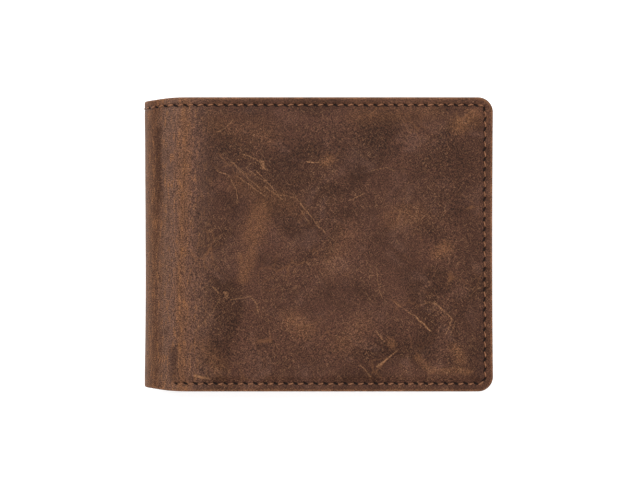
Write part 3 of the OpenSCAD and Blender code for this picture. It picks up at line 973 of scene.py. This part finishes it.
# %% Make the panels
PANEL_CORNER = corner_r - 0.4
CARD_W, CARD_DEPTH = 88.0, 50.0
CARD_GAP, NOTE_GAP = 0.35, 0.4
SIDE_SEAM = 2.0
PANEL_STEP = 2.4
PANEL_RIM = rim(0.28, 0.8, 1.4, 2.0, 2.7, 3.4, 4.2, 5.2)
TOP_RIM = rim(0.28, 0.8, 1.3, 1.55, 1.8, 2.05, 2.3, 3.0, 4.2)


def panel(node, body, facing, hollow, gap, radii, sewn_left=True):
    """A leather panel in a CAD panel's place. hollow is its left, right and bottom limit."""
    low, high = box_mm(node)
    box = (low[0], high[0], low[1], high[1])
    depth = high[2] - low[2]
    shift = 37.0 * len(node) + 11.0 * ord(node[-1])

    def over(u, v, inset):
        crease = 0.09 * ridge(box[3] - v - 1.8, 0.28)
        sides = np.minimum(np.minimum(box[1] - u, v - box[2]), u - box[0] + (0.7 if sewn_left else 90))
        channel = 0.1 * ridge(sides - seam_inset, 0.5) * ramp((box[3] - v - 3) / 3)
        waves = 0.05 * unevenness(u + shift, v, 13) * ramp(inset / 5)
        return depth - crease - channel + waves

    def under(u, v, inset):
        inside = np.minimum(np.minimum(u - hollow[0], hollow[1] - u), v - hollow[2])
        return gap * ramp(inside / 1.2)

    def place(u, v, h):
        return np.stack([u, v, low[2] + h if facing > 0 else high[2] - h], -1)

    def own_hide(u, v, inset):
        return {"hide": np.stack([u + shift, v, inset], -1)}

    lines = (stations(box[0], box[1], PANEL_STEP, PANEL_RIM, PANEL_RIM),
             stations(box[2], box[3], PANEL_STEP, PANEL_RIM, TOP_RIM))
    made = make_sheet(node + "_leather", lines, box, radii, over, under, place, INNER_LEATHER,
                      extra=own_hide, flip=facing < 0)
    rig.ride(made, body)
    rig.replaces(made, node)
    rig.slot(made, "inner_leather")
    return made


def pocket_hollow(node):
    """Left, right and bottom limit of the room for a card."""
    low, high = box_mm(node)
    middle = (low[0] + high[0]) / 2
    return middle - CARD_W / 2, middle + CARD_W / 2, high[1] - CARD_DEPTH


# %% Panels of the two outer leaves
LOW_RIGHT = {(1, -1): PANEL_CORNER}
for leaf, facing in (("back", 1), ("front", -1)):
    wall_low, wall_high = box_mm(f"{leaf}_note_wall")
    wall_hollow = (wall_low[0] - 5, wall_high[0] - 4, wall_low[1] + 4)
    panel(f"{leaf}_note_wall", f"{leaf}_leaf", facing, wall_hollow, NOTE_GAP, LOW_RIGHT, sewn_left=False)
    for number in range(1, 5):
        node = f"{leaf}_card_pocket_{number}"
        panel(node, f"{leaf}_leaf", facing, pocket_hollow(node), CARD_GAP, LOW_RIGHT)

# %% [markdown]
# ## The centre leaf
# It has a cloth-covered core, which has the right shape in CAD and only gets its finish. Under the core
# are three card pockets. Over it is a clear film, held by a leather frame with a window. The film is a
# thin sheet with a hair of room over the core, and it bulges a little. The frame is a band: rings of
# points run round it, from its outer edge to the window, over one face and back under the other.

# %% Pockets of the centre leaf
LEAF_R = 4.0
leaf_low, leaf_high = box_mm("centre_window_frame")
for number in range(1, 4):
    node = f"centre_card_pocket_{number}"
    panel(node, "centre_leaf", -1, pocket_hollow(node), CARD_GAP, {(1, -1): LEAF_R})

# %% The film
FILM_ROOM = 0.04
FILM_CORNER = 3.0
film_low, film_high = box_mm("centre_window_film")
film_depth = film_high[2] - film_low[2]
film_box = (film_low[0], film_high[0], film_low[1], film_high[1])


def film_bulge(u, v, inset):
    """The film is held all round and is a little loose in the middle."""
    return 0.03 * unevenness(u, v, 22) * ramp(inset / 12)


film_rim = rim(film_depth / 2 - FILM_ROOM, 1.0)
film = make_sheet("clear_film", (stations(film_box[0], film_box[1], 3.0, film_rim, film_rim),
                                 stations(film_box[2], film_box[3], 3.0, film_rim, film_rim)),
                  film_box, {side: FILM_CORNER for side in ((1, 1), (1, -1))},
                  lambda u, v, inset: film_depth - FILM_ROOM + film_bulge(u, v, inset),
                  lambda u, v, inset: FILM_ROOM + film_bulge(u, v, inset),
                  lambda u, v, h: np.stack([u, v, film_low[2] + h], -1), FILM)
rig.ride(film, "centre_leaf")
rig.replaces(film, "centre_window_film")
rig.slot(film, "clear_film")

# %% The window frame
WINDOW_W, WINDOW_H, WINDOW_R = 78.0, 50.0, 3.0
leaf_x = (leaf_low[0] + leaf_high[0]) / 2
leaf_y = (leaf_low[1] + leaf_high[1]) / 2


def ring(half_w, half_h, radii, per_side=24, per_corner=9):
    """Points round a rectangle with round corners, anticlockwise from the right side's lower end."""
    points = []
    for (side_x, side_y), start in (((1, 1), 0), ((-1, 1), 90), ((-1, -1), 180), ((1, -1), 270)):
        radius = radii[side_x, side_y]
        centre = (side_x * (half_w - radius), side_y * (half_h - radius))
        turn = np.radians(start + np.linspace(0, 90, per_corner))
        points.append(np.stack([centre[0] + radius * np.cos(turn), centre[1] + radius * np.sin(turn)], -1))
    full = []
    for corner, following in zip(points, points[1:] + points[:1]):
        share = np.linspace(0, 1, per_side + 2)[1:-1, None]
        full += [corner, corner[-1] + share * (following[0] - corner[-1])]
    return np.concatenate(full)


def window_frame():
    half_w, half_h = (leaf_high[0] - leaf_low[0]) / 2, (leaf_high[1] - leaf_low[1]) / 2
    depth = leaf_high[2] - leaf_low[2]
    r = depth / 2
    insets = list(rim(r, 0.7, 1.3, 2.0, 2.4, 2.7, 3.0, 3.4, 4.2))
    outer_r = {(1, 1): LEAF_R, (1, -1): LEAF_R, (-1, 1): 0.4, (-1, -1): 0.4}
    rings, heights, edges = [], [], []

    def drop(inset):
        return r - math.sqrt(max(r * r - max(r - inset, 0) ** 2, 0))

    for inset in insets:
        radii = {side: max(radius - inset, 0.05) for side, radius in outer_r.items()}
        rings.append(ring(half_w - inset, half_h - inset, radii))
        heights.append(drop(inset) + 0.1 * float(ridge(inset - seam_inset, 0.45)))
        edges.append(inset)
    for inset in insets[::-1]:
        radii = {side: WINDOW_R + inset for side in ALL_CORNERS}
        rings.append(ring(WINDOW_W / 2 + inset, WINDOW_H / 2 + inset, radii))
        heights.append(drop(inset) + 0.07 * float(ridge(inset - 1.4, 0.25)))
        edges.append(inset)
    count = len(rings[0])
    flat = np.array(rings) + (leaf_x, leaf_y)
    drops = np.array(heights)[:, None] * np.ones(count)
    inset = np.array(edges)[:, None] * np.ones(count)
    top = np.concatenate([flat, (leaf_high[2] - drops)[..., None]], -1)
    under_drop = np.array([drop(i) for i in edges])[:, None] * np.ones(count)
    low = np.concatenate([flat, (leaf_low[2] + under_drop)[..., None]], -1)[1:-1][::-1]
    loops = np.concatenate([top, low])
    size = len(loops)
    index = np.arange(size * count).reshape(size, count)
    ahead, round_next = np.roll(index, -1, axis=0), np.roll(index, -1, axis=1)
    faces = np.stack([index, round_next, np.roll(ahead, -1, axis=1), ahead], -1).reshape(-1, 4).tolist()
    all_insets = np.concatenate([inset, inset[1:-1][::-1]])
    layer = np.stack([loops[..., 0] + 500, loops[..., 1], all_insets], -1).reshape(-1, 3)
    return new_object("window_frame_leather", loops.reshape(-1, 3), faces, INNER_LEATHER, {"hide": layer})


frame_leather = window_frame()
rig.ride(frame_leather, "centre_leaf")
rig.replaces(frame_leather, "centre_window_frame")
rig.slot(frame_leather, "inner_leather")
print("window frame:", len(frame_leather.data.polygons), "faces")

# %% [markdown]
# ## The centre leaf's hinge
# A strip of soft leather is sewn to the back leaf, stands up beside its pockets and turns into the centre
# leaf. It is the only thing that holds that leaf. It is a thin sheet again, laid along a path with two
# bends, and it blends between the two leaves.

# %% Make the hinge strip
hinge_low, hinge_high = box_mm("centre_leaf_hinge")
STRIP_T = 0.7
strip_x = fold_at["centre_leaf_turn"][0]
strip_z = fold_at["centre_leaf_turn"][2]
foot_z = hinge_low[2] + STRIP_T / 2
FOOT_BEND, HEAD_BEND = 1.0, 1.1
spans = [
    (hinge_high[0] - strip_x - FOOT_BEND),
    FOOT_BEND * math.pi / 2,
    strip_z - HEAD_BEND - foot_z - FOOT_BEND,
    HEAD_BEND * math.pi / 2,
    1.2,
]
strip_length = sum(spans)


def strip_place(u, v, h):
    """Along the strip: in along its foot, up, and over into the centre leaf."""
    starts = np.cumsum([0, *spans])
    foot, rise, head = (np.clip(u - starts[i], 0, spans[i]) for i in (0, 2, 4))
    low_turn = np.clip((u - starts[1]) / spans[1], 0, 1) * math.pi / 2
    high_turn = np.clip((u - starts[3]) / spans[3], 0, 1) * math.pi / 2
    x = hinge_high[0] - foot - FOOT_BEND * np.sin(low_turn) + HEAD_BEND * (1 - np.cos(high_turn)) + head
    z = foot_z + FOOT_BEND * (1 - np.cos(low_turn)) + rise + HEAD_BEND * np.sin(high_turn)
    slope = math.pi - low_turn - high_turn
    return np.stack([x + h * np.sin(slope) * -1, v, z + h * np.cos(slope)], -1)


strip_box = (0.0, strip_length, hinge_low[1], hinge_high[1])
strip_rim = rim(STRIP_T / 2)
strip_lines = (stations(0, strip_length, 0.35, strip_rim, strip_rim),
               stations(hinge_low[1], hinge_high[1], 3.0, strip_rim, strip_rim))
hinge_strip = make_sheet("hinge_strip_leather", strip_lines, strip_box, {},
                         lambda u, v, inset: 0 * u + STRIP_T / 2,
                         lambda u, v, inset: 0 * u - STRIP_T / 2, strip_place, INNER_LEATHER)
bend_from = (strip_x * MM, 0, (strip_z - HEAD_BEND - 0.4) * MM)
bend_to = ((strip_x + HEAD_BEND + 0.2) * MM, 0, (strip_z + 0.2) * MM)
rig.blend(hinge_strip, "back_leaf", "centre_leaf", bend_from, bend_to)
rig.replaces(hinge_strip, "centre_leaf_hinge")
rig.slot(hinge_strip, "inner_leather")

# %% [markdown]
# ## Thread
# The stitches repeat along a line, so Geometry Nodes sew them. Python works out where each stitch sits
# and which way it runs, as a line of points with two arrows on each: `along` the seam and `outward` from
# the leather. The node tree puts one twisted stitch on every point, turns it to the arrows, varies its
# size a little, and makes the result real. Each length of the hide has its own line, which bends as that
# length does.

# %% One stitch
STITCH_W, STITCH_H = 0.22, 0.22
BELLY = 0.2
stitch_half = pitch / 2 - 0.55


def one_stitch():
    """A twisted thread that rises from one slit and dives into the next."""
    rings, sides = 8, 8
    points, faces = [], []
    for i in range(rings + 1):
        share = 2 * i / rings - 1
        swell = math.sqrt(max(1 - abs(share) ** 5, 0.02))
        for k in range(sides):
            turn = 2 * math.pi * k / sides
            lobe = swell * (1 + 0.16 * math.cos(2 * (turn - 2.6 * share)))
            lift = 0.14 * (1 - share * share) - 0.1 * share**4
            belly = BELLY * (1 - share * share)
            side = STITCH_W * lobe * math.cos(turn) - belly
            points.append((share * stitch_half, side, lift + STITCH_H * lobe * math.sin(turn)))
    for i in range(rings):
        for k in range(sides):
            a, b = i * sides + k, i * sides + (k + 1) % sides
            faces.append((a, b, b + sides, a + sides))
    faces.append(list(range(sides))[::-1])
    faces.append(list(range(rings * sides, (rings + 1) * sides)))
    return new_object("stitch", np.array(points), faces, THREAD)


# %% The sewing tree
SEW_INPUTS = (("Geometry", "Geometry"), ("Stitch", "Object"), ("Thread", "Material"),
              ("Unevenness", "Float"), ("Seed", "Int"))


def sewing_tree():
    tree = bpy.data.node_groups.new("sew", "GeometryNodeTree")
    for name, kind in SEW_INPUTS:
        tree.interface.new_socket(name, in_out="INPUT", socket_type="NodeSocket" + kind)
    tree.interface.new_socket("Geometry", in_out="OUTPUT", socket_type="NodeSocketGeometry")
    nodes = Nodes(tree)
    given = nodes.add("NodeGroupInput").outputs
    stitch = nodes.add("GeometryNodeObjectInfo", {"Object": given["Stitch"]}).outputs["Geometry"]
    kind = "GeometryNodeInputNamedAttribute"
    arrows = [nodes.add(kind, {"Name": name}, data_type="FLOAT_VECTOR").outputs[0]
              for name in ("along", "outward")]
    lengthwise = nodes.add("FunctionNodeAlignRotationToVector", {"Vector": arrows[0]}, axis="X").outputs[0]
    upright = nodes.add("FunctionNodeAlignRotationToVector", {"Rotation": lengthwise, "Vector": arrows[1]},
                        axis="Z", pivot_axis="X").outputs[0]
    least = nodes.calc("SUBTRACT", 1.0, given["Unevenness"])
    most = nodes.calc("ADD", 1.0, given["Unevenness"])
    size = nodes.add("FunctionNodeRandomValue", data_type="FLOAT")
    for key, value in (("Min", least), ("Max", most), ("Seed", given["Seed"])):
        socket = next(s for s in size.inputs if s.name == key and s.enabled)
        tree.links.new(value, socket)
    size = next(s for s in size.outputs if s.enabled)
    sewn = nodes.add("GeometryNodeInstanceOnPoints", {"Points": given["Geometry"], "Instance": stitch,
                                                      "Rotation": upright, "Scale": size}).outputs[0]
    real = nodes.add("GeometryNodeRealizeInstances", {0: sewn}).outputs[0]
    values = {"Geometry": real, "Material": given["Thread"]}
    finished = nodes.add("GeometryNodeSetMaterial", values).outputs[0]
    nodes.add("NodeGroupOutput", {0: finished})
    return tree


STITCH, SEW = one_stitch(), sewing_tree()
SLANT = math.radians(-12)


def sew(name, stitches, seed):
    """Sews stitches, each a place, a direction and an outward arrow, into one mesh."""
    places, alongs, outwards = (np.array(part, float) for part in zip(*stitches))
    side = np.cross(alongs, outwards)
    alongs = alongs * math.cos(SLANT) + side * math.sin(SLANT)
    line = new_object(name + "_line", places, [], THREAD, {"along": alongs, "outward": outwards})
    modifier = line.modifiers.new("sew", "NODES")
    modifier.node_group = SEW
    wanted = {"Stitch": STITCH, "Thread": THREAD, "Unevenness": 0.05, "Seed": seed}
    for item in SEW.interface.items_tree:
        if item.in_out == "INPUT" and item.name in wanted:
            modifier[item.identifier] = wanted[item.name]
    bpy.context.view_layer.update()
    mesh = bpy.data.meshes.new_from_object(line.evaluated_get(bpy.context.evaluated_depsgraph_get()))
    mesh.name = name
    made = bpy.data.objects.new(name, mesh)
    bpy.context.scene.collection.objects.link(made)
    bpy.data.objects.remove(line)
    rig.slot(made, "thread")
    print(f"{name}: {len(stitches)} stitches, {len(mesh.polygons)} faces")
    return made


# %% Stitches of the outer seam
SINK = -0.2


def outer_stitches():
    """The outer seam's stitches, sorted by the length of hide that each one lies on."""
    found = {values[0]: [] for values in LENGTHS}
    cuts = [values[2] for values in LENGTHS[:-1]]
    for number in range(stitch_count):
        (u, v), _ = seam_point((number + 0.5) * pitch)
        a, b = (np.array(seam_point((number + 0.5 + step) * pitch)[0]) for step in (-0.3, 0.3))
        start, end = wrap(a[0], a[1], SINK), wrap(b[0], b[1], SINK)
        outward = wrap(np.array(u), np.array(v), 1.0) - wrap(np.array(u), np.array(v), 0.0)
        along = (end - start) / np.linalg.norm(end - start)
        length = list(found)[sum(u > cut for cut in cuts)]
        found[length].append((wrap(np.array(u), np.array(v), SINK), along, outward / np.linalg.norm(outward)))
    return found


# %% Stitches inside the leaves


def straight_run(start, end, normal, surface, spare=0.5):
    """Stitches along a straight line, on a surface whose height depends on the place."""
    start, end = np.array(start, float), np.array(end, float)
    length = np.linalg.norm(end - start)
    count = int(length / pitch)
    along = (end - start) / length
    result = []
    for number in range(count):
        place = start + along * (number + spare) * length / count
        result.append(((*place, surface(*place)), (*along, 0.0), (0.0, 0.0, normal)))
    return result


def pocket_surface(nodes_under, facing, base):
    """Height of the topmost panel at each place."""

    def surface(x, y):
        level = base
        for node in nodes_under:
            low, high = box_mm(node)
            if y < high[1] - 0.6 and low[0] < x < high[0]:
                level = high[2] if facing > 0 else low[2]
        return level - 0.03 * facing

    return surface


def leaf_stitches(leaf, facing):
    """The seam through the panels of an outer leaf: bottom, free edge and spine side."""
    pockets = [f"{leaf}_card_pocket_{number}" for number in range(1, 5)]
    wall_low, wall_high = box_mm(f"{leaf}_note_wall")
    surface = pocket_surface(pockets, facing, wall_high[2] if facing > 0 else wall_low[2])
    low, high = box_mm(pockets[0])
    left, right, bottom = low[0] + SIDE_SEAM, edge_x - seam_inset, -edge_y + seam_inset
    runs = [((left, bottom), (edge_x - corner_r, bottom)), ((right, -side_end), (right, wall_high[1] - 1)),
            ((left, high[1] - 2.5), (left, bottom + 1))]
    return [stitch for a, b in runs for stitch in straight_run(a, b, facing, surface)]


def centre_stitches():
    """Seams of the centre leaf, on its frame above and on its pockets below."""
    left, right = leaf_low[0] + seam_inset, leaf_high[0] - seam_inset
    bottom, top = leaf_low[1] + seam_inset, leaf_high[1] - seam_inset
    pockets = [f"centre_card_pocket_{number}" for number in range(1, 4)]
    core_under = box_mm(pockets[0])[1][2]
    faces = [(1, lambda x, y: leaf_high[2] - 0.08), (-1, pocket_surface(pockets, -1, core_under))]
    found = []
    for facing, surface in faces:
        runs = [((left, bottom), (right - 1.5, bottom)), ((right, bottom + 1.5), (right, top - 1.5)),
                ((left, top), (left, bottom))]
        runs += [((right - 1.5, top), (left, top))] if facing > 0 else []
        found += [stitch for a, b in runs for stitch in straight_run(a, b, facing, surface)]
    return found


# %% Sew
runs = outer_stitches()
runs["back"] += leaf_stitches("back", 1)
runs["front"] += leaf_stitches("front", -1)
threads = {}
for seed, (name, _, _, first_body, second_body, fold) in enumerate(LENGTHS, 1):
    threads[name] = sew(f"thread_{name}", runs[name], seed)
    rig.blend(threads[name], first_body, second_body, *bend_ends(fold))
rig.replaces(threads["back"], "back_seam_thread")
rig.replaces(threads["spine_lower"], "spine_thread_lower", "spine_thread_middle")
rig.replaces(threads["spine_upper"], "spine_thread_upper")
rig.replaces(threads["front"], "front_seam_thread")
centre_thread = sew("thread_centre", centre_stitches(), 5)
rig.ride(centre_thread, "centre_leaf")
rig.replaces(centre_thread, "centre_seam_thread")
bpy.data.objects.remove(STITCH)

# %% [markdown]
# ## Finishes of the CAD pieces that stay
# Their shapes are right as they are, so only their finish changes.

# %% Finish the CAD pieces
KEPT_NODES = {"back_interlining": BOARD, "front_interlining": BOARD, "centre_leaf_core": CORE_CLOTH}
for node, material in KEPT_NODES.items():
    mesh = frame["nodes"][node].data
    mesh.materials.clear()
    mesh.materials.append(material)
print("finished the interlinings and the core")

# %% [markdown]
# ## Floor, light and camera
# The wallet lies on a white table under soft, even light, so it has hardly any shadow. The table glows
# faintly, as a lit tabletop does. The camera looks straight down from a little over half a metre above
# the front cover.

# %% Set the stage


def floor():
    mesh = bpy.data.meshes.new("floor")
    half = 3.0
    corners = [(-half, -half, 0), (half, -half, 0), (half, half, 0), (-half, half, 0)]
    mesh.from_pydata(corners, [], [(0, 1, 2, 3)])
    material, nodes, shader = new_material("white_table", Roughness=0.9, Specular_IOR_Level=0.1,
                                           Emission_Strength=0.55)
    grain = nodes.speck(own_millimetres(nodes), 300, detail=1)
    nodes.fill(shader, {"Base Color": nodes.blend(grain, tone(240, 240, 240), tone(246, 246, 246))})
    shader.inputs["Emission Color"].default_value = (1, 1, 1, 1)
    mesh.materials.append(material)
    made = bpy.data.objects.new("floor", mesh)
    made.location.z = -0.0001
    bpy.context.scene.collection.objects.link(made)
    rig.stage(made)


def soft_light(name, place, size, power):
    data = bpy.data.lights.new(name, "AREA")
    data.shape, data.size, data.energy = "DISK", size, power
    made = bpy.data.objects.new(name, data)
    made.location = place
    made.rotation_euler = (-Vector(place)).to_track_quat("-Z", "Y").to_euler()
    bpy.context.scene.collection.objects.link(made)


floor()
world = bpy.data.worlds.new("studio")
world.use_nodes = True
world.node_tree.nodes["Background"].inputs["Color"].default_value = (1, 1, 1, 1)
world.node_tree.nodes["Background"].inputs["Strength"].default_value = 0.52
bpy.context.scene.world = world
soft_light("softbox_above", (-0.25, 0.45, 0.9), 0.7, 6.2)
soft_light("softbox_right", (0.6, -0.1, 0.7), 0.6, 2.4)
bpy.context.scene.view_settings.view_transform = "Standard"

# %% Camera
CAMERA_HEIGHT = 600.0
CAMERA_X, CAMERA_Y = 0.6, 1.43
camera = bpy.data.objects.new("camera", bpy.data.cameras.new("camera"))
camera.data.sensor_width = 36.0
camera.data.lens = 102.9
camera.location = (CAMERA_X * MM, CAMERA_Y * MM, (thick + CAMERA_HEIGHT) * MM)
bpy.context.scene.collection.objects.link(camera)
bpy.context.scene.camera = camera

# %% [markdown]
# ## The two boxes
# The visual model may stand only a little outside the CAD box, so both boxes are written down before the
# frame is checked.

# %% Finish
low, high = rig.bounds()
boxes = {"cad": [list(cad_low), list(cad_high)], "visual": [list(low), list(high)]}
with open("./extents.json", "w") as file:
    json.dump(boxes, file)
print("visual model, in millimetres:", [round((b - a) / MM, 1) for a, b in zip(low, high)])
